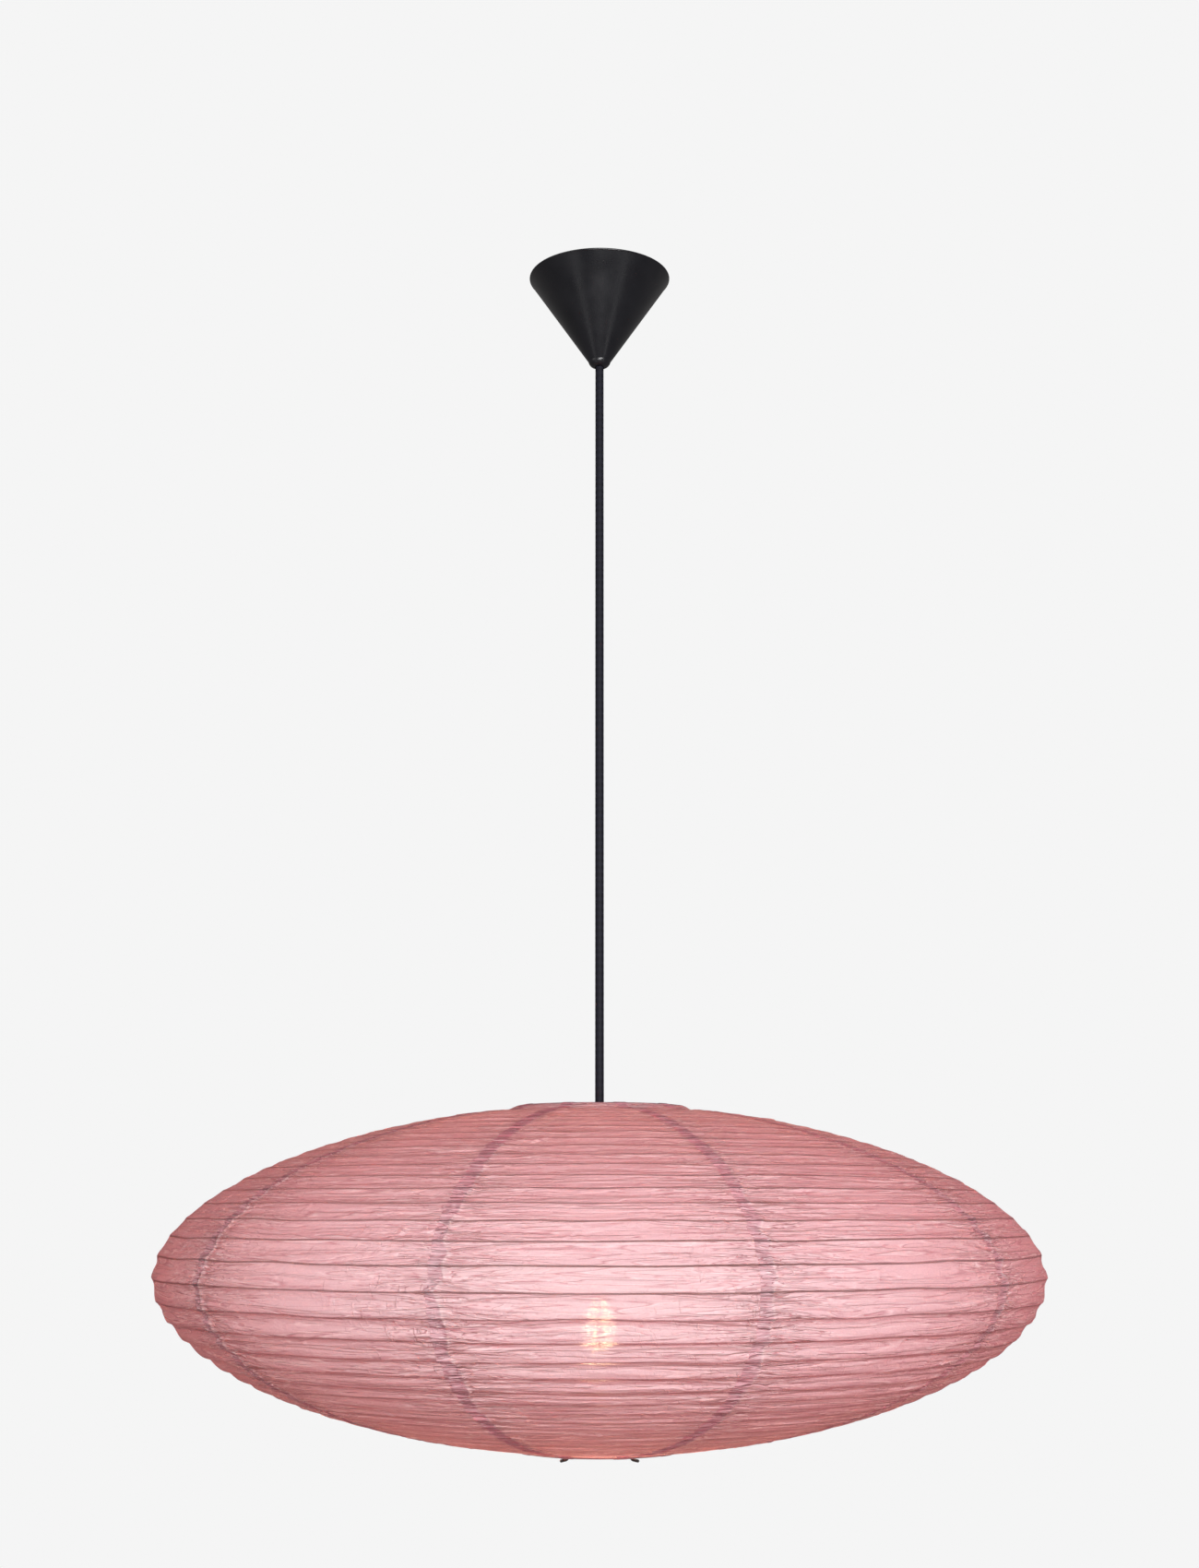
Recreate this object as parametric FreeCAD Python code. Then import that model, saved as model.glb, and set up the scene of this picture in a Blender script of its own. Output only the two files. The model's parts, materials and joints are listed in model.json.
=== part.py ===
import FreeCAD, Part
import math
import os

# A pendant lamp with a flattened round paper shade.  It hangs from the ceiling on a textile cord.
# Millimetres, +Z up.  The origin is on the ceiling, in the middle of the ceiling strap's upper face.

V = FreeCAD.Vector

# ---- driving dimensions ----
FIT_GAP = 0.05              # between pieces of one body that sit in each other
MOVING_GAP = 0.3            # between curved faces of two bodies

STRAP_LENGTH = 84.0
STRAP_WIDTH = 16.0
STRAP_THICKNESS = 2.0
SCREW_SPACING = 60.0
SLOT_LENGTH = 12.0
SLOT_RADIUS = 2.6

HOOK_WIRE_R = 1.5
HOOK_R = 6.5
HOOK_BOTTOM_Z = -20.0       # middle of the wire at the bottom of the hook
LINK_R = 6.5
LINK_WIRE_R = 1.25
LINK_SLACK = 0.15           # between the hook and the link that hangs on it
EYE_HOLE_R = 2.2
EYE_SLACK = 0.5             # between the link and the top of the eye's hole
EYE_OUTER_R = 4.6
EYE_THICKNESS = 3.0

GRIP_TOP_Z = -36.0
GRIP_BOTTOM_Z = -57.0
GRIP_WIDTH = 16.0
GRIP_DEPTH = 12.0
GRIP_SCREW_X = 5.5
GRIP_SCREW_Z = -46.0
GRIP_SCREW_R = 1.2
GRIP_SCREW_HEAD_R = 2.0
GRIP_SCREW_LENGTH = 9.0
SCREW_SINK = 0.4            # how deep a grip screw's head sits in the grip
HEAD_HEIGHT = 1.2
DRIVE_SLOT = 0.6            # width and depth of the slot in a small screw's head

CORD_R = 3.1
CORD_TOP_Z = -41.0
CORD_END_Z = -668.0

CANOPY_RIM_Z = -4.0
CANOPY_RIM_R = 53.0
CANOPY_APEX_DROP = 78.9     # from the rim down to where the cone would end in a point
CANOPY_WALL = 2.4
CANOPY_TIP_Z = -75.0
CANOPY_TIP_R = 4.4
CANOPY_ROUNDING_START_Z = -70.6
GROMMET_R = 5.2
GROMMET_FLANGE_R = 7.6
GROMMET_BOTTOM_Z = -71.0
GROMMET_SHELF_Z = -60.0

TERMINAL_X0 = 11.0
TERMINAL_X1 = 25.0
TERMINAL_Z0 = -28.0
TERMINAL_Z1 = -16.0
TERMINAL_HALF_DEPTH = 6.0
POLE_X = (14.5, 21.5)       # live and neutral
POLE_BORE_R = 1.5
TERMINAL_HOLE_R = 1.4       # fixing holes in the block's waist
TERMINAL_SCREW_R = 1.7
TERMINAL_SCREW_INSET = 3.2  # from the block's top and bottom
LEAD_R = 1.1
LEAD_Y = 2.5                # where the leads leave the grip, to the front and the back
LEAD_EXIT_Z = (-49.5, -50.5)

SHADE_R = 300.0             # outside of the paper at its widest
SHADE_MIDDLE_Z = -734.0
SHADE_HALF_HEIGHT = 114.5   # of the whole profile curve, which the two end rings cut short
SHADE_EXPONENT = 1.88       # 2 would be an ellipse
MOUTH_R = 56.0              # middle of the wire of both end rings
NECK_RISE = 2.0             # the paper rises to each end ring in a slight S
NECK_DIP = 1.3
HOOPS_PER_HALF = 18         # above the widest hoop, and again below it
HOOP_WIRE_R = 0.5
PAPER = 0.3
GORES = 10
GORE_TURN = 1.0             # degrees that the seams are turned from a symmetric place
RING_WIRE_R = 1.6
BINDING = 0.3

HOLDER_TOP_Z = -648.0
CAP_TOP_Z = -656.1
CAP_R = 21.5
CAP_WALL = 2.0
FLANGE_TOP_Z = -689.1
FLANGE_Z = -692.0
FLANGE_R = 25.0
THREAD_R = 20.0
THREAD_DEPTH = 0.6
THREAD_PITCH = 2.6
HOLDER_MOUTH_Z = -736.0
SEAT_R = 17.6               # bore of the holder body, where the contact block and the sleeve sit
GLAND_R = 7.5
GLAND_NECK_R = 5.0
CONTACT_BLOCK_TOP_Z = -682.1
CONTACT_BLOCK_HEIGHT = 12.0
CONTACT_SCREW_X = 9.0
CONTACT_SCREW_R = 1.7
CONTACT_SCREW_HEAD_R = 3.0
SLEEVE_R = 13.6
SLEEVE_WALL = 0.5
SHADE_RING_R = 26.6
SHADE_RING_HEIGHT = 10.0
RING_GROOVES = 24
RING_GROOVE_R = 1.0

COLLAR_THICKNESS = 1.5
COLLAR_OUTER_R = 27.5
EXPANDER_WIRE_R = 1.0
LEG_R = 47.0                # from the lamp's axis to the middle of each leg
LEG_ANGLE = 25.5            # each side's two legs stand this far from the Y axis
LEG_BEND_R = 4.0
FOOT_TIP_R = 60.2
FOOT_HOOK = 2.2             # how far a foot's tip turns up
TIE_OFFSETS = (42.0, -100.0)    # heights of the two tie wires of a side, from the collar

BULB_TIP_Z = -703.0
BULB_BOTTOM_Z = -812.0
BULB_R = 30.0
BULB_NECK_R = 12.9
BULB_GLASS = 0.9
SHELL_TOP_Z = -711.5
SHELL_BOTTOM_Z = -731.0
SHELL_CREST_R = 13.1
SHELL_ROOT_R = 12.1
SHELL_INNER_R = 11.5
SHELL_MOUTH_R = 10.9
CAP_PITCH = 3.62
TIP_R = 4.6
TIP_HEIGHT = 2.0
STEM_ROD_R = 1.6
FILAMENT_LENGTH = 32.0
FILAMENT_MIDDLE_Z = -764.0
FILAMENT_CIRCLE_R = 4.2
FILAMENT_R = 1.1
FILAMENT_ANGLES = (0.6, 2.17, 3.74, 5.31)
FILAMENT_WIRE_R = 0.4


# ---- small helpers ----
def cylinder(radius, z0, z1, x=0.0, y=0.0):
    return Part.makeCylinder(radius, z1 - z0, V(x, y, z0))


def cylinder_y(radius, y0, y1, x, z):
    return Part.makeCylinder(radius, y1 - y0, V(x, y0, z), V(0, 1, 0))


def block(x0, x1, y0, y1, z0, z1):
    return Part.makeBox(x1 - x0, y1 - y0, z1 - z0, V(x0, y0, z0))


def turned_edges(edges, start=0.0, sweep=360.0):
    """Turn a closed outline, given as edges in the XZ plane, about the Z axis."""
    face = Part.Face(Part.Wire(edges))
    face.rotate(V(0, 0, 0), V(0, 0, 1), start)
    return face.revolve(V(0, 0, 0), V(0, 0, 1), sweep)


def polyline(points):
    """Straight edges through (radius, z) points in the XZ plane."""
    corners = [V(r, 0, z) for r, z in points]
    return [Part.LineSegment(a, b).toShape() for a, b in zip(corners, corners[1:])]


def turned(points):
    """Turn a closed polygon of (radius, z) points about the Z axis."""
    return turned_edges(polyline(points + points[:1]))


def tube(points, radius, bend):
    """A round wire along straight runs, with an arc of radius bend at each corner where it fits."""
    points = [V(*p) for p in points]
    edges = []
    start = points[0]
    for before, corner, after in zip(points, points[1:], points[2:]):
        inward = (before - corner).normalize()
        outward = (after - corner).normalize()
        half_turn = 0.5 * (math.pi - inward.getAngle(outward))
        shorter = min((before - corner).Length, (after - corner).Length)
        setback = min(bend * math.tan(half_turn), 0.48 * shorter)
        arc_r = setback / math.tan(half_turn)
        arc_start = corner + inward * setback
        arc_end = corner + outward * setback
        to_middle = arc_r / math.cos(half_turn)
        middle = corner + (inward + outward).normalize() * (to_middle - arc_r)
        edges.append(Part.LineSegment(start, arc_start).toShape())
        edges.append(Part.Arc(arc_start, middle, arc_end).toShape())
        start = arc_end
    edges.append(Part.LineSegment(start, points[-1]).toShape())
    path = Part.Wire(edges)
    section = Part.Wire(Part.makeCircle(radius, points[0], points[1] - points[0]))
    return path.makePipeShell([section], True, False)


def around_z(shape, angle):
    copy = shape.copy()
    copy.rotate(V(0, 0, 0), V(0, 0, 1), angle)
    return copy


def export(name, shape):
    shape.exportStep("parts/" + name + ".step")
    kind = "valid" if shape.isValid() else "NOT VALID"
    print(name, len(shape.Solids), "solids", round(shape.Volume, 1), "mm3", kind)


# ---- ceiling fixing ----
def ceiling_strap():
    half = STRAP_LENGTH / 2
    strap = block(-half, half, -STRAP_WIDTH / 2, STRAP_WIDTH / 2, -STRAP_THICKNESS, 0)
    upright = [edge for edge in strap.Edges if abs(edge.tangentAt(0).z) > 0.9]
    strap = strap.makeFillet(5.0, upright)
    straight = SLOT_LENGTH / 2 - SLOT_RADIUS
    for side in (-1, 1):
        x = side * SCREW_SPACING / 2
        slot = block(x - straight, x + straight, -SLOT_RADIUS, SLOT_RADIUS, -STRAP_THICKNESS, 0)
        for end in (x - straight, x + straight):
            slot = slot.fuse(cylinder(SLOT_RADIUS, -STRAP_THICKNESS, 0, end))
        strap = strap.cut(slot)
    return strap


def ceiling_hook():
    top = -STRAP_THICKNESS
    points = [
        (0, 0, top),
        (0, 0, HOOK_BOTTOM_Z + 13.0),
        (HOOK_R, 0, HOOK_BOTTOM_Z + 10.0),
        (HOOK_R, 0, HOOK_BOTTOM_Z),
        (-HOOK_R, 0, HOOK_BOTTOM_Z),
        (-HOOK_R, 0, HOOK_BOTTOM_Z + 9.0),
    ]
    hook = tube(points, HOOK_WIRE_R, HOOK_R - 0.3)
    base = cylinder(4.0, top - 1.5, top)
    return hook.fuse(base).removeSplitter()


def link_bottom_z():
    return HOOK_BOTTOM_Z + HOOK_WIRE_R + LINK_WIRE_R + LINK_SLACK - 2 * LINK_R


def hanger_link():
    middle = V(0, 0, link_bottom_z() + LINK_R)
    return Part.makeTorus(LINK_R, LINK_WIRE_R, middle, V(1, 0, 0))


# ---- cord and its end pieces ----
def cord_grip():
    eye_z = link_bottom_z() - (EYE_HOLE_R - LINK_WIRE_R - EYE_SLACK)
    half = EYE_THICKNESS / 2
    eye = cylinder_y(EYE_OUTER_R, -half, half, 0, eye_z)
    eye = eye.fuse(block(-EYE_OUTER_R, EYE_OUTER_R, -half, half, GRIP_TOP_Z, eye_z))
    eye = eye.cut(cylinder_y(EYE_HOLE_R, -half, half, 0, eye_z))
    body = block(-GRIP_WIDTH / 2, GRIP_WIDTH / 2, -GRIP_DEPTH / 2, GRIP_DEPTH / 2, GRIP_BOTTOM_Z, GRIP_TOP_Z)
    upright = [edge for edge in body.Edges if abs(edge.tangentAt(0).z) > 0.9]
    body = body.makeFillet(2.0, upright)
    body = body.cut(cylinder(CORD_R + FIT_GAP, GRIP_BOTTOM_Z, CORD_TOP_Z))
    for side in (-1, 1):
        body = body.cut(grip_screw(side, FIT_GAP))
    return body.fuse(eye).removeSplitter()


def grip_screw(side, gap=0.0):
    """A screw without its slot; with a gap it is the tool that cuts the screw's hole."""
    x = side * GRIP_SCREW_X
    z = GRIP_SCREW_Z
    face = -GRIP_DEPTH / 2
    top = face - HEAD_HEIGHT
    under_head = face + SCREW_SINK
    head = cylinder_y(GRIP_SCREW_HEAD_R + gap, top, under_head + gap, x, z)
    shank = cylinder_y(GRIP_SCREW_R + gap, under_head, face + GRIP_SCREW_LENGTH + gap, x, z)
    return head.fuse(shank)


def slotted_grip_screw(side):
    x = side * GRIP_SCREW_X
    z = GRIP_SCREW_Z
    top = -GRIP_DEPTH / 2 - HEAD_HEIGHT
    reach = 0.8 * GRIP_SCREW_HEAD_R
    half = DRIVE_SLOT / 2
    return grip_screw(side).cut(block(x - reach, x + reach, top, top + DRIVE_SLOT, z - half, z + half))


def grip_screws():
    return Part.Compound([slotted_grip_screw(-1), slotted_grip_screw(1)])


def pendant_cord():
    return cylinder(CORD_R, CORD_END_Z, CORD_TOP_Z)


def terminal_block():
    depth = TERMINAL_HALF_DEPTH
    body = block(TERMINAL_X0, TERMINAL_X1, -depth, depth, TERMINAL_Z0, TERMINAL_Z1)
    waist = (TERMINAL_X0 + TERMINAL_X1) / 2
    for y in (-depth, depth):
        body = body.cut(cylinder(TERMINAL_HOLE_R, TERMINAL_Z0, TERMINAL_Z1, waist, y))
    for x in POLE_X:
        body = body.cut(cylinder(POLE_BORE_R, (TERMINAL_Z0 + TERMINAL_Z1) / 2, TERMINAL_Z1, x))
        for z in terminal_screw_heights():
            body = body.cut(cylinder_y(TERMINAL_SCREW_R + FIT_GAP, -depth, terminal_screw_end() + 0.2, x, z))
    return body


def terminal_screw_end():
    return -2.0


def terminal_screw_heights():
    return (TERMINAL_Z0 + TERMINAL_SCREW_INSET, TERMINAL_Z1 - TERMINAL_SCREW_INSET)


def terminal_screws():
    screws = []
    top = -TERMINAL_HALF_DEPTH + 0.8
    reach = TERMINAL_SCREW_R
    half = DRIVE_SLOT / 2
    for x in POLE_X:
        for z in terminal_screw_heights():
            screw = cylinder_y(TERMINAL_SCREW_R, top, terminal_screw_end(), x, z)
            screws.append(screw.cut(block(x - reach, x + reach, top, top + DRIVE_SLOT, z - half, z + half)))
    return Part.Compound(screws)


def supply_lead(pole, side, rise_z, bend):
    """A lead out of the grip's side and up into one pole of the terminal block."""
    face = GRIP_WIDTH / 2
    y = side * LEAD_Y
    z = LEAD_EXIT_Z[pole]
    points = [(face, y, z), (face + 4.0, y, z), (POLE_X[pole], 0, rise_z), (POLE_X[pole], 0, TERMINAL_Z0)]
    return tube(points, LEAD_R, bend)


def live_lead():
    return supply_lead(0, 1, -40.0, 4.0)


def neutral_lead():
    return supply_lead(1, -1, -38.0, 5.0)


# ---- ceiling canopy ----
def canopy_r(z):
    """Outer radius of the canopy's cone at height z."""
    return CANOPY_RIM_R * (CANOPY_APEX_DROP - (CANOPY_RIM_Z - z)) / CANOPY_APEX_DROP


def canopy():
    rim_round = 1.6
    rim_side = V(canopy_r(CANOPY_RIM_Z - rim_round), 0, CANOPY_RIM_Z - rim_round)
    rim_top = V(CANOPY_RIM_R - rim_round, 0, CANOPY_RIM_Z)
    rim_middle = V(CANOPY_RIM_R - 0.35 * rim_round, 0, CANOPY_RIM_Z - 0.35 * rim_round)
    tip_side = V(canopy_r(CANOPY_ROUNDING_START_Z), 0, CANOPY_ROUNDING_START_Z)
    tip_middle = V(0.62 * tip_side.x + 0.38 * CANOPY_TIP_R, 0, 0.34 * tip_side.z + 0.66 * CANOPY_TIP_Z)
    tip_end = V(CANOPY_TIP_R, 0, CANOPY_TIP_Z)
    edges = [
        Part.Arc(rim_top, rim_middle, rim_side).toShape(),
        Part.LineSegment(rim_side, tip_side).toShape(),
        Part.Arc(tip_side, tip_middle, tip_end).toShape(),
    ]
    bore = CORD_R + 0.5
    inside = [
        (CANOPY_TIP_R, CANOPY_TIP_Z),
        (bore, CANOPY_TIP_Z),
        (bore, GROMMET_BOTTOM_Z),
        (GROMMET_R + FIT_GAP, GROMMET_BOTTOM_Z),
        (GROMMET_R + FIT_GAP, GROMMET_SHELF_Z),
        (canopy_r(GROMMET_SHELF_Z) - CANOPY_WALL, GROMMET_SHELF_Z),
        (CANOPY_RIM_R - CANOPY_WALL - rim_round, CANOPY_RIM_Z),
        (rim_top.x, rim_top.z),
    ]
    return turned_edges(edges + polyline(inside))


def canopy_grommet():
    bore = CORD_R + FIT_GAP
    shelf = GROMMET_SHELF_Z + FIT_GAP
    bottom = GROMMET_BOTTOM_Z + FIT_GAP
    outline = [
        (bore, bottom),
        (GROMMET_R, bottom),
        (GROMMET_R, shelf),
        (GROMMET_FLANGE_R, shelf),
        (GROMMET_FLANGE_R - 0.6, shelf + 1.6),
        (bore, shelf + 1.6),
    ]
    return turned(outline)


# ---- lampholder ----
def cord_gland():
    bore = CORD_R + FIT_GAP
    outline = [
        (bore, HOLDER_TOP_Z),
        (GLAND_R - 1.9, HOLDER_TOP_Z),
        (GLAND_R, HOLDER_TOP_Z - 2.0),
        (GLAND_R, CAP_TOP_Z + FIT_GAP),
        (GLAND_NECK_R, CAP_TOP_Z + FIT_GAP),
        (GLAND_NECK_R, CAP_TOP_Z - 6.0),
        (bore, CAP_TOP_Z - 6.0),
    ]
    return turned(outline)


def holder_cap():
    hole = GLAND_NECK_R + FIT_GAP
    flat_r = 9.0
    inner_flat_r = 8.6
    shoulder_z = CAP_TOP_Z - 15.0
    inner_top = CAP_TOP_Z - CAP_WALL
    inner_r = CAP_R - CAP_WALL
    outer = Part.Arc(V(flat_r, 0, CAP_TOP_Z), V(17.6, 0, CAP_TOP_Z - 5.0), V(CAP_R, 0, shoulder_z))
    inner = Part.Arc(V(inner_r, 0, shoulder_z), V(16.2, 0, inner_top - 4.2), V(inner_flat_r, 0, inner_top))
    bottom = FLANGE_TOP_Z
    side = polyline([(CAP_R, shoulder_z), (CAP_R, bottom), (inner_r, bottom), (inner_r, shoulder_z)])
    top = polyline([(inner_flat_r, inner_top), (hole, inner_top), (hole, CAP_TOP_Z), (flat_r, CAP_TOP_Z)])
    return turned_edges([outer.toShape()] + side + [inner.toShape()] + top)


def holder_body():
    """Spigot in the cap, flange, and a thread for the shade ring; the inside is open from end to end."""
    spigot_r = CAP_R - CAP_WALL - FIT_GAP
    spigot_top = FLANGE_TOP_Z + 8.0
    flange_top = FLANGE_TOP_Z - FIT_GAP
    root_r = THREAD_R - THREAD_DEPTH
    lip_r = 15.0
    lip = 3.0
    outline = [
        (SEAT_R, spigot_top),
        (spigot_r, spigot_top),
        (spigot_r, flange_top),
        (FLANGE_R, flange_top),
        (FLANGE_R, FLANGE_Z),
        (root_r, FLANGE_Z),
    ]
    z = FLANGE_Z - 1.0
    while z > HOLDER_MOUTH_Z + 24.0:
        for r, drop in ((root_r, 0.0), (THREAD_R, 0.6), (THREAD_R, 1.2), (root_r, 1.8)):
            outline.append((r, z - drop))
        z -= THREAD_PITCH
    outline += [
        (root_r, HOLDER_MOUTH_Z + 2.0),
        (root_r - 1.6, HOLDER_MOUTH_Z),
        (lip_r, HOLDER_MOUTH_Z),
        (lip_r, HOLDER_MOUTH_Z + lip),
        (SEAT_R, HOLDER_MOUTH_Z + lip),
    ]
    return turned(outline)


def contact_block():
    top = CONTACT_BLOCK_TOP_Z
    body = cylinder(SEAT_R - FIT_GAP, top - CONTACT_BLOCK_HEIGHT, top)
    for side in (-1, 1):
        body = body.cut(cylinder(CONTACT_SCREW_R + FIT_GAP, top - 5.0, top, side * CONTACT_SCREW_X))
    return body


def holder_screws():
    under_head = CONTACT_BLOCK_TOP_Z + FIT_GAP
    head_top = CONTACT_BLOCK_TOP_Z + 1.8
    reach = CONTACT_SCREW_HEAD_R
    screws = []
    for side in (-1, 1):
        x = side * CONTACT_SCREW_X
        screw = cylinder(CONTACT_SCREW_R, CONTACT_BLOCK_TOP_Z - 4.9, under_head, x)
        screw = screw.fuse(cylinder(CONTACT_SCREW_HEAD_R, under_head, head_top, x))
        screws.append(screw.cut(block(x - reach, x + reach, -0.4, 0.4, head_top - 0.8, head_top)))
    return Part.Compound(screws)


def holder_lead(side):
    """A wire from the cord's end down to the head of one contact screw."""
    start = CORD_END_Z - MOVING_GAP
    near = side * (LEAD_R + 0.5)
    far = side * CONTACT_SCREW_X
    end = CONTACT_BLOCK_TOP_Z + 1.8 + FIT_GAP
    return tube([(near, 0, start), (near, 0, start - 3.0), (far, 0, start - 7.0), (far, 0, end)], LEAD_R, 3.0)


def holder_leads():
    return Part.Compound([holder_lead(-1), holder_lead(1)])


def screw_sleeve():
    top = CONTACT_BLOCK_TOP_Z - CONTACT_BLOCK_HEIGHT - FIT_GAP
    rim = 0.8
    outer_r = SLEEVE_R + SLEEVE_WALL
    bottom = HOLDER_MOUTH_Z + 5.0
    outline = [
        (SLEEVE_R, top),
        (SEAT_R - FIT_GAP, top),
        (SEAT_R - FIT_GAP, top - rim),
        (outer_r, top - rim),
        (outer_r, bottom),
        (SLEEVE_R, bottom),
    ]
    return turned(outline)


def centre_contact():
    """A bent spring strip under the contact block; its flat end presses on the bulb's tip."""
    top = CONTACT_BLOCK_TOP_Z - CONTACT_BLOCK_HEIGHT - FIT_GAP
    strip = 0.5
    half_width = 3.0
    bottom = BULB_TIP_Z + MOVING_GAP
    outline = [
        (-9.0, top),
        (-9.0, top - strip),
        (-1.0, top - strip),
        (-6.0, bottom + 1.0),
        (-3.0, bottom),
        (5.0, bottom),
        (5.0, bottom + strip),
        (-2.6, bottom + strip),
        (-4.8, bottom + 1.4),
        (0.4, top),
    ]
    face = Part.Face(Part.Wire(polyline(outline + outline[:1])))
    face.translate(V(0, -half_width, 0))
    return face.extrude(V(0, 2 * half_width, 0))


def shade_ring():
    """Grooved nut on the holder's thread; the shade's collar rests on it."""
    top = FLANGE_Z - 2 * MOVING_GAP - COLLAR_THICKNESS
    bottom = top - SHADE_RING_HEIGHT
    bore = THREAD_R + MOVING_GAP
    outline = [
        (bore, top),
        (SHADE_RING_R, top),
        (SHADE_RING_R, top - 2.0),
        (SHADE_RING_R - 2.4, top - 3.0),
        (SHADE_RING_R - 3.2, bottom),
        (bore, bottom),
    ]
    ring = turned(outline)
    groove_r = SHADE_RING_R - 2.0
    for index in range(RING_GROOVES):
        angle = 2 * math.pi * index / RING_GROOVES
        x = groove_r * math.cos(angle)
        y = groove_r * math.sin(angle)
        ring = ring.cut(cylinder(RING_GROOVE_R, bottom - 1.0, top - 2.6, x, y))
    return ring


# ---- bulb ----
def bulb_tip():
    top = BULB_TIP_Z
    bottom = top - TIP_HEIGHT
    return turned([(0, top), (TIP_R - 1.2, top), (TIP_R, top - 1.2), (TIP_R, bottom), (0, bottom)])


def bulb_insulator():
    top = BULB_TIP_Z - TIP_HEIGHT - FIT_GAP
    rim_r = SHELL_MOUTH_R - 0.3
    return turned([(0, top), (TIP_R + 0.8, top), (rim_r, top - 4.6), (rim_r, top - 6.4), (0, top - 6.4)])


def bulb_shell():
    """The screw cap, with a wavy outline in place of the thread."""
    wave_top = SHELL_TOP_Z - 0.8
    wave_r = SHELL_ROOT_R + 0.15
    edges = polyline([(SHELL_MOUTH_R, SHELL_TOP_Z), (wave_r, wave_top)])
    z = wave_top
    while z > SHELL_BOTTOM_Z + CAP_PITCH + 1.0:
        middle = z - CAP_PITCH / 2
        low = z - CAP_PITCH
        for z0, bulge_r, z1 in ((z, SHELL_CREST_R, middle), (middle, SHELL_ROOT_R - 0.35, low)):
            wave = Part.Arc(V(wave_r, 0, z0), V(bulge_r, 0, (z0 + z1) / 2), V(wave_r, 0, z1))
            edges.append(wave.toShape())
        z = low
    closing = [
        (wave_r, z),
        (BULB_NECK_R, z - 1.0),
        (BULB_NECK_R, SHELL_BOTTOM_Z),
        (SHELL_INNER_R, SHELL_BOTTOM_Z),
        (SHELL_INNER_R, SHELL_TOP_Z - 1.2),
        (SHELL_MOUTH_R, SHELL_TOP_Z - 1.2),
        (SHELL_MOUTH_R, SHELL_TOP_Z),
    ]
    return turned_edges(edges + polyline(closing))


def bulb_outline(inset):
    """Half outline of the envelope, from its neck to its bottom, moved inwards by inset."""
    top = SHELL_BOTTOM_Z - FIT_GAP
    middle_z = BULB_BOTTOM_Z + BULB_R
    curve = Part.BSplineCurve()
    points = [
        V(BULB_NECK_R - inset, 0, top),
        V(BULB_NECK_R + 1.2 - inset, 0, top - 9.0),
        V(20.0 - inset, 0, top - 24.0),
        V(BULB_R - inset, 0, middle_z),
    ]
    curve.interpolate(points, InitialTangent=V(0, 0, -1), FinalTangent=V(0, 0, -1))
    ball_r = BULB_R - inset
    slant = ball_r * math.sqrt(0.5)
    ball = Part.Arc(V(ball_r, 0, middle_z), V(slant, 0, middle_z - slant), V(0, 0, middle_z - ball_r))
    return [curve.toShape(), ball.toShape()]


def bulb_glass():
    top = SHELL_BOTTOM_Z - FIT_GAP
    outer = bulb_outline(0.0)
    inner = bulb_outline(BULB_GLASS)
    bottom = polyline([(0, BULB_BOTTOM_Z), (0, BULB_BOTTOM_Z + BULB_GLASS)])
    rim = polyline([(BULB_NECK_R - BULB_GLASS, top), (BULB_NECK_R, top)])
    return turned_edges(outer + bottom + inner[::-1] + rim)


def bulb_stem():
    top = SHELL_BOTTOM_Z - 2 * FIT_GAP
    neck = BULB_NECK_R - BULB_GLASS - FIT_GAP - 0.4
    low = FILAMENT_MIDDLE_Z - FILAMENT_LENGTH / 2 - 3.0
    outline = [
        (0, top),
        (neck, top),
        (neck, top - 1.2),
        (5.0, top - 5.0),
        (3.2, top - 10.0),
        (STEM_ROD_R, top - 12.0),
        (STEM_ROD_R, low),
        (0, low),
    ]
    return turned(outline)


def filament_places():
    return [(FILAMENT_CIRCLE_R * math.cos(a), FILAMENT_CIRCLE_R * math.sin(a)) for a in FILAMENT_ANGLES]


def bulb_filaments():
    low = FILAMENT_MIDDLE_Z - FILAMENT_LENGTH / 2
    high = FILAMENT_MIDDLE_Z + FILAMENT_LENGTH / 2
    return Part.Compound([cylinder(FILAMENT_R, low, high, x, y) for x, y in filament_places()])


def filament_wires():
    """Short spokes from the glass rod to the ends of the filaments."""
    inner_r = STEM_ROD_R + 0.1
    length = FILAMENT_CIRCLE_R + 0.6 - inner_r
    half = FILAMENT_LENGTH / 2 + 0.5
    wires = []
    for z in (FILAMENT_MIDDLE_Z - half, FILAMENT_MIDDLE_Z + half):
        for x, y in filament_places():
            start = V(x, y, 0) * (inner_r / FILAMENT_CIRCLE_R) + V(0, 0, z)
            wires.append(Part.makeCylinder(FILAMENT_WIRE_R, length, start, V(x, y, 0)))
    return Part.Compound(wires)


# ---- paper shade ----
def shade_point(t):
    """Point of the profile through the hoops' wires, from t = 0 at the widest place to 1 at the mouth."""
    widest = SHADE_R - PAPER - HOOP_WIRE_R - FIT_GAP
    mouth_angle = math.acos((MOUTH_R / widest) ** (SHADE_EXPONENT / 2))
    angle = t * mouth_angle
    power = 2 / SHADE_EXPONENT
    return widest * math.cos(angle) ** power, SHADE_HALF_HEIGHT * math.sin(angle) ** power


def even_profile():
    """Points at equal steps along the upper half of the profile, from the widest hoop to the mouth."""
    fine = [shade_point(i / 2000) for i in range(2001)]
    walked = [0.0]
    for a, b in zip(fine, fine[1:]):
        walked.append(walked[-1] + math.dist(a, b))
    steps = HOOPS_PER_HALF + 1
    points = []
    index = 0
    for step in range(steps + 1):
        target = walked[-1] * step / steps
        while index < len(walked) - 1 and walked[index] < target - 1e-9:
            index += 1
        points.append(fine[index])
    return points


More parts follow.
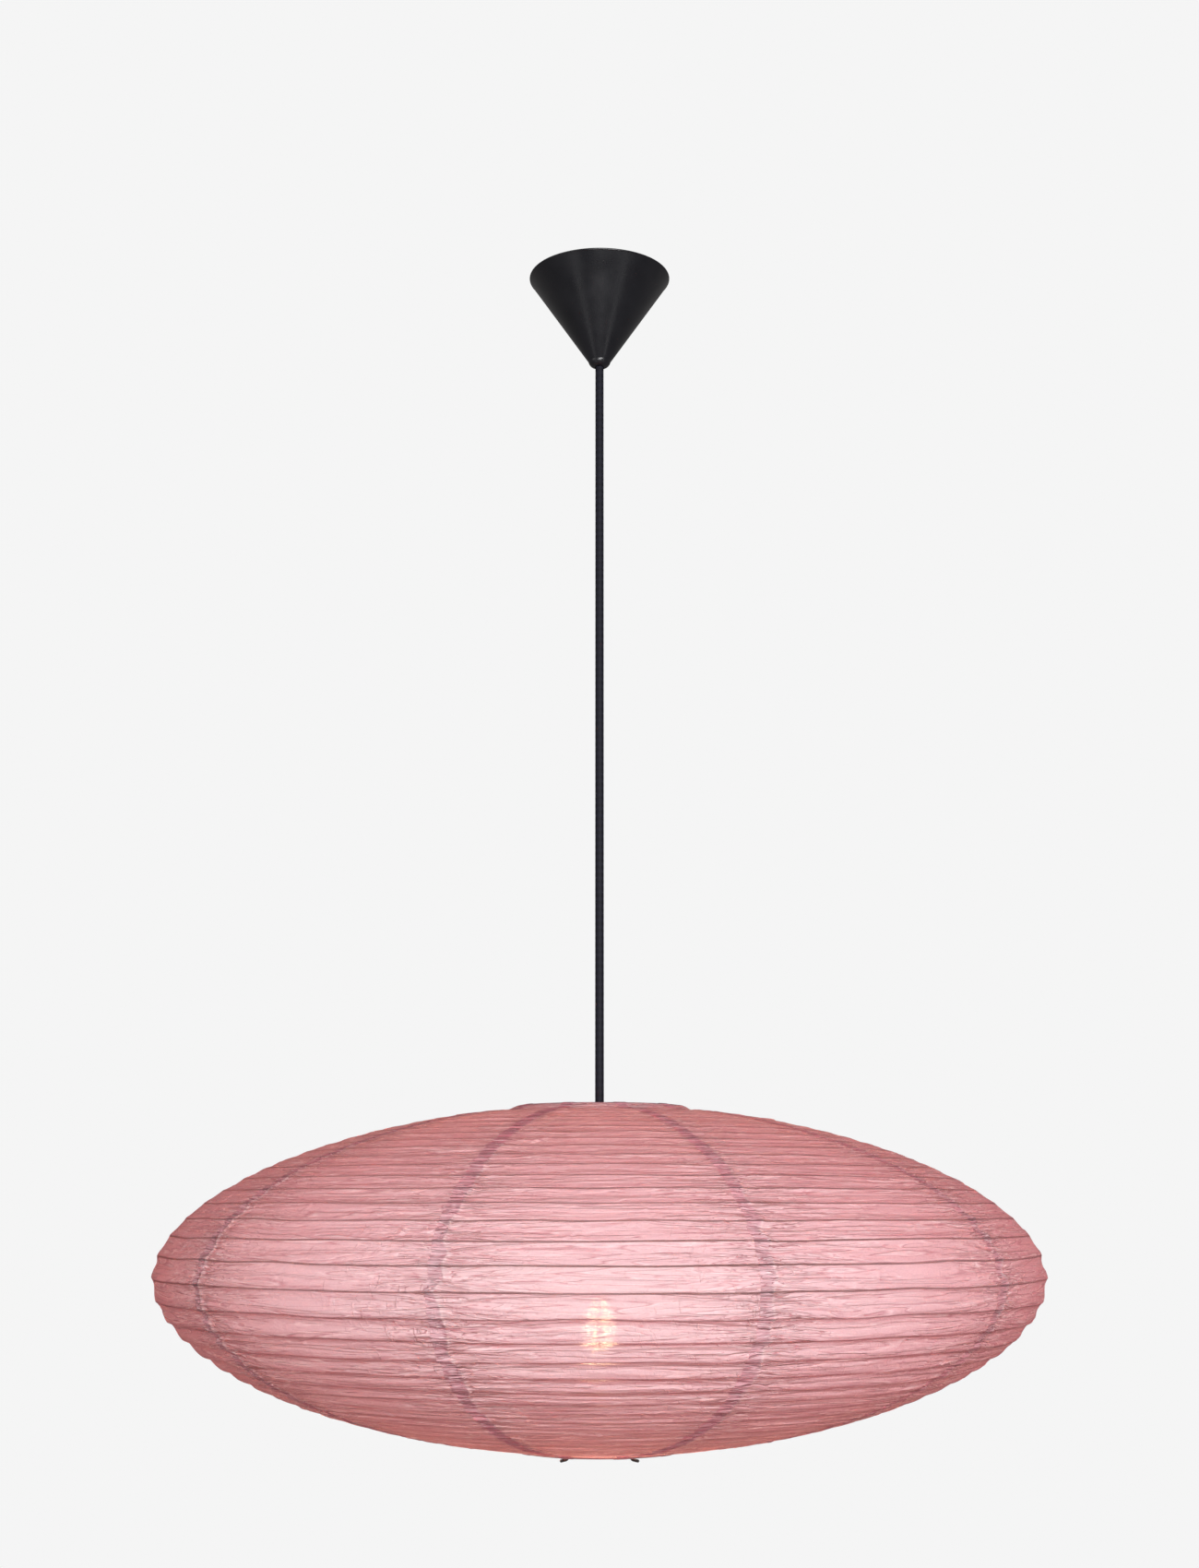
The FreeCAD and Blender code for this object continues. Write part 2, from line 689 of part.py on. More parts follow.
def neck(r):
    """How far the profile leaves its smooth curve near the mouths."""
    from_mouth = r - MOUTH_R
    rise = NECK_RISE * math.exp(-((from_mouth / 6.0) ** 2))
    dip = NECK_DIP * math.exp(-(((from_mouth - 15.0) / 12.0) ** 2))
    return rise - dip


def whole_profile():
    """Wire centres of every hoop and of the shade's two edges, from the bottom up."""
    upper = [(r, z + neck(r)) for r, z in even_profile()]
    lower = [(r, -z) for r, z in upper[:0:-1]]
    return [(r, z + SHADE_MIDDLE_Z) for r, z in lower + upper]


def moved_out(points, distance):
    """The same points, moved outwards across the profile."""
    result = []
    last = len(points) - 1
    for index, (r, z) in enumerate(points):
        before = points[max(index - 1, 0)]
        after = points[min(index + 1, last)]
        step = distance / math.dist(before, after)
        result.append((r + step * (after[1] - before[1]), z - step * (after[0] - before[0])))
    return result


def paper_gore(number):
    profile = whole_profile()
    inner = moved_out(profile, HOOP_WIRE_R + FIT_GAP)
    outer = moved_out(profile, HOOP_WIRE_R + FIT_GAP + PAPER)
    curves = []
    for points in (inner, outer):
        curve = Part.BSplineCurve()
        curve.interpolate([V(r, 0, z) for r, z in points])
        curves.append(curve.toShape())
    ends = polyline([inner[0], outer[0]]) + polyline([inner[-1], outer[-1]])
    step = 360.0 / GORES
    start = -90.0 - step / 2 + GORE_TURN + number * step
    return turned_edges([curves[0], ends[1], curves[1], ends[0]], start, step)


def hoops(first, last):
    """The wire hoops from number first up to number last, counted from the bottom edge."""
    profile = whole_profile()
    return Part.Compound([Part.makeTorus(r, HOOP_WIRE_R, V(0, 0, z)) for r, z in profile[first:last + 1]])


def mouth_ring_z(side):
    """Height of an end ring's wire: it lies just inside the paper's edge."""
    edge_z = whole_profile()[-1][1] - SHADE_MIDDLE_Z
    inset = RING_WIRE_R + FIT_GAP + BINDING + 2 * MOVING_GAP - HOOP_WIRE_R
    return SHADE_MIDDLE_Z + side * (edge_z - inset)


def mouth_ring(side):
    return Part.makeTorus(MOUTH_R, RING_WIRE_R, V(0, 0, mouth_ring_z(side)))


def mouth_binding(side):
    middle = V(0, 0, mouth_ring_z(side))
    inner_r = RING_WIRE_R + FIT_GAP
    return Part.makeTorus(MOUTH_R, inner_r + BINDING, middle).cut(Part.makeTorus(MOUTH_R, inner_r, middle))


# ---- expander that holds the shade open ----
def collar_z():
    return FLANGE_Z - MOVING_GAP - COLLAR_THICKNESS / 2


def expander_collar():
    half = COLLAR_THICKNESS / 2
    disc = cylinder(COLLAR_OUTER_R, collar_z() - half, collar_z() + half)
    return disc.cut(cylinder(THREAD_R + MOVING_GAP + FIT_GAP, collar_z() - half, collar_z() + half))


def expander_leg():
    """One leg in the XZ plane: a foot under each end ring, and an arm to the collar."""
    under_ring = RING_WIRE_R + FIT_GAP + BINDING + EXPANDER_WIRE_R + FIT_GAP
    top_foot = mouth_ring_z(1) - under_ring
    bottom_foot = mouth_ring_z(-1) - under_ring - PAPER - 3 * MOVING_GAP
    points = [
        (FOOT_TIP_R, 0, top_foot + FOOT_HOOK),
        (FOOT_TIP_R, 0, top_foot),
        (LEG_R, 0, top_foot),
        (LEG_R, 0, bottom_foot),
        (FOOT_TIP_R - 2.4, 0, bottom_foot),
    ]
    leg = tube(points, EXPANDER_WIRE_R, LEG_BEND_R)
    arm_start = COLLAR_OUTER_R + FIT_GAP
    arm = Part.makeCylinder(EXPANDER_WIRE_R, LEG_R - arm_start, V(arm_start, 0, collar_z()), V(1, 0, 0))
    return leg.fuse(arm)


def expander_side(turn):
    """Two legs joined by tie wires: made around the X axis, then turned to its own side."""
    legs = [around_z(expander_leg(), angle) for angle in (-LEG_ANGLE, LEG_ANGLE)]
    tie_x = LEG_R * math.cos(math.radians(LEG_ANGLE))
    tie_y = LEG_R * math.sin(math.radians(LEG_ANGLE))
    frame = legs[0].fuse(legs[1])
    for offset in TIE_OFFSETS:
        frame = frame.fuse(cylinder_y(EXPANDER_WIRE_R, -tie_y, tie_y, tie_x, collar_z() + offset))
    return around_z(frame, turn)


def build():
    os.makedirs("parts", exist_ok=True)
    pieces = {
        "ceiling_strap": ceiling_strap(),
        "ceiling_hook": ceiling_hook(),
        "hanger_link": hanger_link(),
        "cord_grip": cord_grip(),
        "grip_screws": grip_screws(),
        "pendant_cord": pendant_cord(),
        "terminal_block": terminal_block(),
        "terminal_screws": terminal_screws(),
        "live_lead": live_lead(),
        "neutral_lead": neutral_lead(),
        "canopy": canopy(),
        "canopy_grommet": canopy_grommet(),
        "cord_gland": cord_gland(),
        "holder_cap": holder_cap(),
        "holder_body": holder_body(),
        "contact_block": contact_block(),
        "holder_screws": holder_screws(),
        "holder_leads": holder_leads(),
        "screw_sleeve": screw_sleeve(),
        "centre_contact": centre_contact(),
        "shade_ring": shade_ring(),
        "bulb_tip": bulb_tip(),
        "bulb_insulator": bulb_insulator(),
        "bulb_shell": bulb_shell(),
        "bulb_glass": bulb_glass(),
        "bulb_stem": bulb_stem(),
        "bulb_filaments": bulb_filaments(),
        "filament_wires": filament_wires(),
        "expander_collar": expander_collar(),
        "expander_side_front": expander_side(-90.0),
        "expander_side_back": expander_side(90.0),
        "top_ring": mouth_ring(1),
        "top_binding": mouth_binding(1),
        "bottom_ring": mouth_ring(-1),
        "bottom_binding": mouth_binding(-1),
        "hoops_lower": hoops(1, HOOPS_PER_HALF),
        "hoop_widest": hoops(HOOPS_PER_HALF + 1, HOOPS_PER_HALF + 1),
        "hoops_upper": hoops(HOOPS_PER_HALF + 2, 2 * HOOPS_PER_HALF + 1),
    }
    for number in range(GORES):
        pieces["paper_gore_%02d" % (number + 1)] = paper_gore(number)
    for name, shape in pieces.items():
        export(name, shape)


build()
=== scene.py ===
import json
import math

import bpy
import numpy as np
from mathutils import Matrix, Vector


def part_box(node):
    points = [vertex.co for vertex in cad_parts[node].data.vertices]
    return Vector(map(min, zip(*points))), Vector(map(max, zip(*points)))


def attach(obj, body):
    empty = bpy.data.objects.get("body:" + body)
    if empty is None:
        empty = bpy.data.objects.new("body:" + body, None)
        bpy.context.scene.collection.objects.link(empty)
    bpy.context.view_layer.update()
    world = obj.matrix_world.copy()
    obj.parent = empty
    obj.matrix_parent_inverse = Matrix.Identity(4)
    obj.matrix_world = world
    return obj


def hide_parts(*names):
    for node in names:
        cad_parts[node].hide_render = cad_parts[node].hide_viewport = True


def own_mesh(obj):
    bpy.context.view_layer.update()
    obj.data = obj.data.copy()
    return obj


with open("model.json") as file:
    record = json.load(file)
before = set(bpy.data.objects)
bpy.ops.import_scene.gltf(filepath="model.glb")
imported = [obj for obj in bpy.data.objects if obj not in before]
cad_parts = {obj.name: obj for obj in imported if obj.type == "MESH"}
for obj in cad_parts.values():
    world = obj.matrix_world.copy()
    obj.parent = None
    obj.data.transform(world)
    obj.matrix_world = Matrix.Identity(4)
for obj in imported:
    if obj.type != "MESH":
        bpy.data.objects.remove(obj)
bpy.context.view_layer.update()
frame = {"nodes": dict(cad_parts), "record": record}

# A pendant lamp with a flattened round paper shade.  Metres, +Z up, the ceiling at z = 0.

# ---- camera ----
EYE_DISTANCE = 1.471
EYE_ABOVE_MIDDLE = 0.0457
LOOKING_UP = math.radians(11.4)
LENS = 48.15

# ---- stage ----
BACKGROUND = (0.913, 0.913, 0.913, 1.0)
FLOOR_Z = -2.4

# ---- shade ----
SHADE_HALF_HEIGHT = 0.1145      # of the whole profile curve, which the end rings cut short
SHADE_EXPONENT = 1.88           # 2 would be an ellipse
MOUTH_R = 0.056
HOOPS_PER_HALF = 18
NECK_RISE = 0.0020              # the paper rises to each end ring in a slight S
NECK_DIP = 0.0013
NECK_RISE_REACH = 0.006
NECK_DIP_PLACE = 0.015          # how far out from the mouth the dip is deepest
NECK_DIP_REACH = 0.012
HOOP_WIRE_R = 0.0005
HOOP_STEPS = 360
HOOP_WIRE_SIDES = 8
PAPER_OFF_WIRE = 0.00075        # from the middle of a hoop's wire to the paper over it
GORES = 10
FIRST_SEAM = -math.pi / 2 - math.pi / GORES + math.radians(1.0)     # the first gore faces front, nearly
LAP = 0.009                     # how far each gore laps over its neighbour
LAP_LIFT = 0.00025
LAP_EDGE = 0.0004               # how far past the seam the lap is at its full lift
BANDS = 2 * HOOPS_PER_HALF + 2
ROWS_PER_BAND = 14
COLUMNS = 120                   # across one gore, without its lap
LAP_COLUMNS = 8
WRAP_END_R = 0.0022             # of the same fold at its end, inside the shade
WRAP_STEPS = 9
WRAP_STEP_LENGTH = 0.0007
WRAP_TURN = math.radians(110)
BOTTOM = 0                      # first row of a gore's grid
TOP = -1                        # and its last row

# ---- how the paper sags and creases ----
SAG_EVERYWHERE = 0.0003
SAG_WIDEST = 0.0004             # added at the widest hoop
SAG_LOW = 0.0011                # added there in the lower bands
LINE_WAVER = 0.00042            # typical stray of the line over a hoop, up or down
SEAM_WAVER = 0.0019             # typical stray of a seam, sideways, at the widest hoop
SEAM_DENT = 0.0014
SEAM_RIDGE = 0.0007
SEAM_PULL = 0.007               # how far from a seam its dent and its straying reach
MM = 0.001
WIDE_GORE = 0.19                # about a gore's greatest width
SHEET_STEP = 0.31               # sets the gores' patterns apart
# Painted shade and painted highlight laid side by side along each crease, as its shaded and lit sides
CREASE_SHADE = (0.44, 0.14, 0.17)
CREASE_HIGHLIGHT = (0.96, 0.76, 0.80)
# PAPER_SLANTS: painted light by slant to the view, paler (painted highlight) seen squarely, deeper and
# darker (painted shade) toward the outline
PAPER_SLANTS = (0.0, 0.12, 0.36, 0.80)
PAPER_RELIEF = 0.0022
PORES = 0.05                    # greatest share of light that goes nearly straight through

# ---- cord ----
CORD_R = 0.0031
CORD_TOP_Z = -0.041
CORD_END_Z = -0.668
CORD_RINGS = 1150
CORD_SIDES = 64
BRAID_CARRIERS = 8
BRAID_PITCH = 0.010
BRAID_DEPTH = 0.00022           # from the cord's outside down to the gaps between its strands
STRAND_HEIGHT = 0.00020

# ---- read from the frame ----
hoop_low, hoop_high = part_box("hoop_widest")
WIDEST = hoop_high.x - HOOP_WIRE_R
MIDDLE_Z = 0.5 * (hoop_low.z + hoop_high.z)
ring_low, ring_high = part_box("top_ring")
TOP_RING_Z = 0.5 * (ring_low.z + ring_high.z)
BOTTOM_RING_Z = 2 * MIDDLE_Z - TOP_RING_Z
EQUATOR = BANDS / 2             # the widest hoop's line
rng = np.random.default_rng(7)


# ---- nodes ----
class Nodes:
    """Short ways to add and join shader nodes in one material."""

    def __init__(self, name):
        self.material = bpy.data.materials.new(name)
        self.material.use_nodes = True
        self.tree = self.material.node_tree
        self.tree.nodes.clear()
        self.out = self.tree.nodes.new("ShaderNodeOutputMaterial")

    def node(self, kind, **settings):
        made = self.tree.nodes.new(kind)
        for key, value in settings.items():
            setattr(made, key, value)
        return made

    def put(self, value, socket):
        """Join an output to a socket, or set the socket's own value."""
        if isinstance(value, bpy.types.NodeSocket):
            self.tree.links.new(value, socket)
        else:
            socket.default_value = value

    def shader(self, kind, **inputs):
        made = self.node(kind)
        for key, value in inputs.items():
            self.put(value, made.inputs[key.replace("_", " ")])
        return made

    def math(self, operation, a, b=0.0, clamp=False):
        made = self.node("ShaderNodeMath", operation=operation, use_clamp=clamp)
        self.put(a, made.inputs[0])
        self.put(b, made.inputs[1])
        return made.outputs[0]

    def ramp(self, factor, *stops):
        """A ramp of (position, value) stops; a value is a grey or an RGB colour."""
        made = self.node("ShaderNodeValToRGB")
        elements = made.color_ramp.elements
        while len(elements) < len(stops):
            elements.new(0.5)
        for element, (position, value) in zip(elements, stops):
            element.position = position
            colour = (value, value, value) if isinstance(value, (int, float)) else value
            element.color = (*colour, 1.0)
        self.put(factor, made.inputs[0])
        return made.outputs[0]

    def mix(self, factor, a, b, blend="MIX"):
        made = self.node("ShaderNodeMix", data_type="RGBA", blend_type=blend)
        self.put(factor, made.inputs[0])
        for value, socket in ((a, made.inputs[6]), (b, made.inputs[7])):
            self.put((*value, 1.0) if isinstance(value, tuple) else value, socket)
        return made.outputs[2]

    def attribute(self, name):
        return self.node("ShaderNodeAttribute", attribute_name=name)

    def place(self):
        return self.node("ShaderNodeTexCoord").outputs["Object"]

    def stretched(self, vector, scale):
        made = self.node("ShaderNodeMapping")
        self.put(vector, made.inputs["Vector"])
        made.inputs["Scale"].default_value = scale
        return made.outputs[0]

    def noise(self, vector, scale, detail=3.0, roughness=0.55, distortion=0.0):
        made = self.node("ShaderNodeTexNoise")
        self.put(vector, made.inputs["Vector"])
        made.inputs["Scale"].default_value = scale
        made.inputs["Detail"].default_value = detail
        made.inputs["Roughness"].default_value = roughness
        made.inputs["Distortion"].default_value = distortion
        return made.outputs["Fac"]

    def bump(self, height, distance):
        made = self.node("ShaderNodeBump")
        self.put(height, made.inputs["Height"])
        made.inputs["Distance"].default_value = distance
        made.inputs["Strength"].default_value = 1.0
        return made.outputs[0]

    def tinted(self, tone, mask, amount, colour):
        """The tone with a colour laid over it where the mask is, by the amount at most."""
        return self.mix(self.math("MULTIPLY", mask, amount), tone, colour)

    def with_crease_shade_and_highlight(self, tone, value, at, width, amount):
        """The tone with a painted shade line and a painted highlight line side by side where a noise value
        passes at.
        """
        dark = self.ramp(value, (at - width, 0.0), (at - 0.5 * width, 1.0), (at, 0.0))
        pale = self.ramp(value, (at, 0.0), (at + 0.5 * width, 1.0), (at + width, 0.0))
        return self.tinted(self.tinted(tone, dark, amount, CREASE_SHADE), pale, amount, CREASE_HIGHLIGHT)

    def mix_shaders(self, factor, a, b):
        made = self.node("ShaderNodeMixShader")
        self.put(factor, made.inputs[0])
        self.tree.links.new(a, made.inputs[1])
        self.tree.links.new(b, made.inputs[2])
        return made.outputs[0]

    def finish(self, surface):
        self.tree.links.new(surface, self.out.inputs["Surface"])
        return self.material


# ---- materials ----
def paper_pattern(n):
    """The outputs that both the paper's colour and its relief are made from."""
    names = ("lap", "fold", "crumple", "ridge", "tick", "sag")
    pattern = {name: n.attribute(name).outputs["Fac"] for name in names}
    sheet = n.attribute("paper_xy").outputs["Vector"]
    pleat = n.attribute("pleat_xy").outputs["Vector"]
    pattern["clouds"] = n.noise(sheet, 38.0, 4.0, 0.6)
    pattern["fibres"] = n.noise(n.stretched(sheet, (1.0, 1.7, 1.0)), 620.0, 3.0, 0.7, 0.4)
    pattern["grain"] = n.noise(sheet, 1500.0, 2.0, 0.6)
    pattern["specks"] = n.noise(sheet, 650.0, 2.0, 0.6)
    pattern["uneven"] = n.noise(n.stretched(sheet, (26.0, 60.0, 1.0)), 1.0, 2.0)
    pattern["small"] = n.noise(n.stretched(sheet, (260.0, 300.0, 1.0)), 1.0, 4.0, 0.6)
    pattern["ticks"] = n.noise(n.stretched(sheet, (260.0, 100.0, 1.0)), 1.0, 2.0, 0.5, 1.2)
    pattern["long_folds"] = n.noise(n.stretched(pleat, (9.0, 150.0, 60.0)), 1.0, 2.0, 0.5, 0.7)
    pattern["fan"] = n.noise(n.stretched(pleat, (30.0, 200.0, 60.0)), 1.0, 2.0, 0.55, 0.7)
    return pattern


def paper_tone(n, pattern, faces):
    """The dyed paper's colour, with its laps, painted shade at the hoop lines, painted highlights on the
    seam ridges, painted shade and highlight lines at the creases, and painted light by its slant to the
    view.
    """
    # Painted highlight where the paper faces the viewer and painted shade toward its outline, by its slant
    # to the view; partly also the deeper look of dye seen along the sheet
    slant = n.node("ShaderNodeLayerWeight").outputs["Facing"]
    tone = n.ramp(slant, *zip(PAPER_SLANTS, faces))
    tone = n.tinted(tone, n.ramp(pattern["clouds"], (0.3, 0.0), (0.7, 1.0)), 0.10, (1.0, 0.80, 0.80))
    tone = n.tinted(tone, n.ramp(pattern["fibres"], (0.35, 0.0), (0.65, 1.0)), 0.16, (1.0, 0.76, 0.76))
    tone = n.tinted(tone, pattern["lap"], 0.36, (1.0, 0.22, 0.34))
    # Painted shade: a dark line along each hoop, where the wire behind the paper shades it; the sag amount
    # makes it stronger in the lower bands
    line = n.ramp(pattern["fold"], (0.0, 1.0), (0.0007, 0.0))
    line = n.math("MULTIPLY", line, n.ramp(pattern["uneven"], (0.40, 0.25), (0.60, 1.25)))
    tone = n.tinted(tone, line, pattern["sag"], (0.42, 0.12, 0.14))
    # Painted highlight along the pinched ridges at the seams
    tone = n.tinted(tone, pattern["ridge"], 0.85, (0.95, 0.76, 0.78))
    # Painted shade and painted highlight lines along the long, fan and tick creases, beside their bump
    # relief
    tone = n.with_crease_shade_and_highlight(tone, pattern["long_folds"], 0.42, 0.034, 0.55)
    tone = n.with_crease_shade_and_highlight(tone, pattern["long_folds"], 0.58, 0.034, 0.48)
    tone = n.with_crease_shade_and_highlight(tone, pattern["fan"], 0.43, 0.035, pattern["crumple"])
    tone = n.with_crease_shade_and_highlight(tone, pattern["fan"], 0.57, 0.035, pattern["crumple"])
    return n.with_crease_shade_and_highlight(tone, pattern["ticks"], 0.66, 0.035, pattern["tick"])


def paper_height(n, pattern):
    """Relief of the small creases, the fibres and the grain; 1 is as high as PAPER_RELIEF."""
    steps = ((0.30, 0.0), (0.40, 0.10), (0.44, 0.42), (0.56, 0.50), (0.60, 0.85), (0.70, 1.0))
    parts = (
        (n.ramp(pattern["long_folds"], *steps), 0.50),
        (n.ramp(pattern["fan"], *steps), pattern["crumple"]),
        (n.ramp(pattern["ticks"], (0.62, 0.0), (0.70, 1.0)), pattern["tick"]),
        (pattern["small"], 0.24),
        (pattern["fibres"], 0.07),
        (pattern["grain"], 0.04),
    )
    height = 0.0
    for part, share in parts:
        height = n.math("ADD", n.math("MULTIPLY", part, share), height)
    return height


def paper_material(name, faces, glow, through):
    """Thin dyed rice paper: it scatters light back, passes some on, and lets a little through its pores.

    faces holds its colour at PAPER_SLANTS, from seen squarely to seen nearly along it: paler where seen
    squarely, a painted highlight, and deeper and darker toward the outline, which is painted shade as well
    as the deeper look of dye seen along the sheet. glow tints the light that it passes on, and through is
    the share of that light."""
    n = Nodes(name)
    pattern = paper_pattern(n)
    tone = paper_tone(n, pattern, faces)
    normal = n.bump(paper_height(n, pattern), PAPER_RELIEF)
    front = n.shader("ShaderNodeBsdfPrincipled", Base_Color=tone, Roughness=0.72, Normal=normal)
    front.inputs["Specular IOR Level"].default_value = 0.25
    passed = n.mix(1.0, tone, glow, "MULTIPLY")
    behind = n.shader("ShaderNodeBsdfTranslucent", Color=passed, Normal=normal)
    body = n.mix_shaders(through, front.outputs[0], behind.outputs[0])
    pores = n.ramp(pattern["specks"], (0.46, 0.0), (0.60, 1.0))
    clear = n.shader("ShaderNodeBsdfRefraction", Color=(1.0, 0.88, 0.78, 1.0), Roughness=0.42, IOR=1.03)
    return n.finish(n.mix_shaders(n.math("MULTIPLY", pores, PORES), body, clear.outputs[0]))


def plastic_material(name, colour, roughness):
    """Moulded plastic with a fine spark-eroded grain and faint wear."""
    n = Nodes(name)
    place = n.place()
    spots = n.noise(place, 900.0, 3.0)
    clouds = n.noise(place, 45.0, 4.0)
    worn = tuple(c * 1.25 + 0.002 for c in colour)
    tone = n.mix(n.ramp(clouds, (0.35, 0.0), (0.75, 1.0)), colour, worn)
    rough = n.ramp(clouds, (0.3, roughness - 0.04), (0.7, roughness + 0.05))
    normal = n.bump(spots, 0.00004)
    skin = n.shader("ShaderNodeBsdfPrincipled", Base_Color=tone, Roughness=rough, Normal=normal)
    return n.finish(skin.outputs[0])


def metal_material(name, colour, roughness):
    """Drawn or pressed metal with fine scratches and slight spots."""
    n = Nodes(name)
    place = n.place()
    scratches = n.noise(n.stretched(place, (1.0, 1.0, 0.04)), 2400.0, 3.0)
    spots = n.noise(place, 160.0, 5.0)
    dull = tuple(c * 0.72 for c in colour)
    tone = n.mix(n.ramp(spots, (0.4, 0.0), (0.75, 1.0)), colour, dull)
    rough = n.ramp(spots, (0.3, roughness - 0.06), (0.75, roughness + 0.12))
    normal = n.bump(scratches, 0.00003)
    skin = n.shader("ShaderNodeBsdfPrincipled", Base_Color=tone, Roughness=rough, Normal=normal)
    skin.inputs["Metallic"].default_value = 1.0
    return n.finish(skin.outputs[0])


def rubber_material(name, colour, roughness):
    """Rubber or soft insulation, with a fine dull grain."""
    n = Nodes(name)
    spots = n.noise(n.place(), 1400.0, 3.0)
    dusty = tuple(c * 1.3 + 0.003 for c in colour)
    tone = n.mix(n.ramp(spots, (0.35, 0.0), (0.7, 1.0)), colour, dusty)
    normal = n.bump(spots, 0.00003)
    skin = n.shader("ShaderNodeBsdfPrincipled", Base_Color=tone, Roughness=roughness, Normal=normal)
    return n.finish(skin.outputs[0])


def glaze_material(name, colour):
    """Glossy ceramic or opaque glass with slow waves in its skin."""
    n = Nodes(name)
    waves = n.noise(n.place(), 220.0, 3.0)
    deeper = tuple(c * 0.93 for c in colour)
    tone = n.mix(n.ramp(waves, (0.35, 0.0), (0.7, 1.0)), colour, deeper)
    normal = n.bump(waves, 0.00008)
    skin = n.shader("ShaderNodeBsdfPrincipled", Base_Color=tone, Roughness=0.22, Normal=normal)
    return n.finish(skin.outputs[0])


def glass_material(name):
    """Clear glass that lets lamp light pass without bending it."""
    n = Nodes(name)
    waves = n.noise(n.place(), 60.0, 2.0)
    glass = n.shader("ShaderNodeBsdfPrincipled", Normal=n.bump(waves, 0.00003))
    glass.inputs["Base Color"].default_value = (1.0, 0.985, 0.96, 1.0)
    glass.inputs["Roughness"].default_value = 0.02
    glass.inputs["Transmission Weight"].default_value = 1.0
    glass.inputs["IOR"].default_value = 1.5
    clear = n.shader("ShaderNodeBsdfTransparent")
    shadow = n.node("ShaderNodeLightPath").outputs["Is Shadow Ray"]
    return n.finish(n.mix_shaders(shadow, glass.outputs[0], clear.outputs[0]))


def filament_material(name):
    """Yellow phosphor over a row of glowing chips."""
    n = Nodes(name)
    place = n.place()
    chips = n.noise(n.stretched(place, (1.0, 1.0, 6.0)), 260.0, 1.0)
    tone = n.mix(chips, (1.0, 0.62, 0.22), (1.0, 0.80, 0.42))
    skin = n.shader("ShaderNodeBsdfPrincipled", Base_Color=tone, Roughness=0.5)
    skin.inputs["Emission Color"].default_value = (1.0, 0.74, 0.42, 1.0)
    skin.inputs["Emission Strength"].default_value = 42.0
    return n.finish(skin.outputs[0])


def cord_material(name):
    """Braided yarn: a herringbone of two nearly black blues, with painted shade in the gaps between
    strands.
    """
    n = Nodes(name)
    yarn = n.attribute("yarn").outputs["Fac"]
    fuzz = n.noise(n.place(), 2600.0, 3.0, 0.7)
    tone = n.mix(n.ramp(yarn, (0.2, 0.0), (0.8, 1.0)), (0.002, 0.002, 0.004), (0.007, 0.007, 0.014))
    tone = n.mix(n.math("MULTIPLY", fuzz, 0.15), tone, (0.020, 0.021, 0.034))
    normal = n.bump(fuzz, 0.00008)
    skin = n.shader("ShaderNodeBsdfPrincipled", Base_Color=tone, Roughness=0.62, Normal=normal)
    skin.inputs["Specular IOR Level"].default_value = 0.18
    skin.inputs["Sheen Weight"].default_value = 0.02
    skin.inputs["Sheen Roughness"].default_value = 0.4
    return n.finish(skin.outputs[0])


# PINK's four colours go from a pale painted highlight seen squarely to a deeper painted shade seen nearly
# edge-on
PINK = ((0.70, 0.517, 0.561), (0.717, 0.496, 0.551), (0.732, 0.437, 0.495), (0.708, 0.292, 0.345))
DEEP_PINK = ((0.70, 0.34, 0.37),) * 4
materials = {
    "zinc_steel": metal_material("zinc_steel", (0.60, 0.61, 0.62), 0.34),
    "white_plastic": plastic_material("white_plastic", (0.78, 0.78, 0.75), 0.45),
    "cord_textile": cord_material("cord_textile"),
    "brass": metal_material("brass", (0.78, 0.56, 0.24), 0.26),
    "brown_insulation": rubber_material("brown_insulation", (0.16, 0.06, 0.025), 0.4),
    "blue_insulation": rubber_material("blue_insulation", (0.03, 0.11, 0.42), 0.4),
    "canopy_plastic": plastic_material("canopy_plastic", (0.004, 0.004, 0.006), 0.30),
    "black_rubber": rubber_material("black_rubber", (0.015, 0.015, 0.016), 0.6),
    "holder_plastic": plastic_material("holder_plastic", (0.016, 0.016, 0.017), 0.4),
    "holder_ceramic": glaze_material("holder_ceramic", (0.82, 0.80, 0.75)),
    "frame_wire": metal_material("frame_wire", (0.13, 0.12, 0.12), 0.42),
    "binding_paper": paper_material("binding_paper", DEEP_PINK, (1.0, 0.8, 0.7), 0.10),
    "hoop_wire": metal_material("hoop_wire", (0.86, 0.70, 0.68), 0.5),
    "shade_paper": paper_material("shade_paper", PINK, (1.0, 0.80, 0.66), 0.35),
    "bulb_solder": metal_material("bulb_solder", (0.62, 0.62, 0.60), 0.4),
    "bulb_metal": metal_material("bulb_metal", (0.80, 0.78, 0.74), 0.24),
    "bulb_black_glass": glaze_material("bulb_black_glass", (0.012, 0.012, 0.014)),
    "bulb_glass": glass_material("bulb_glass"),
    "filament": filament_material("filament"),
}


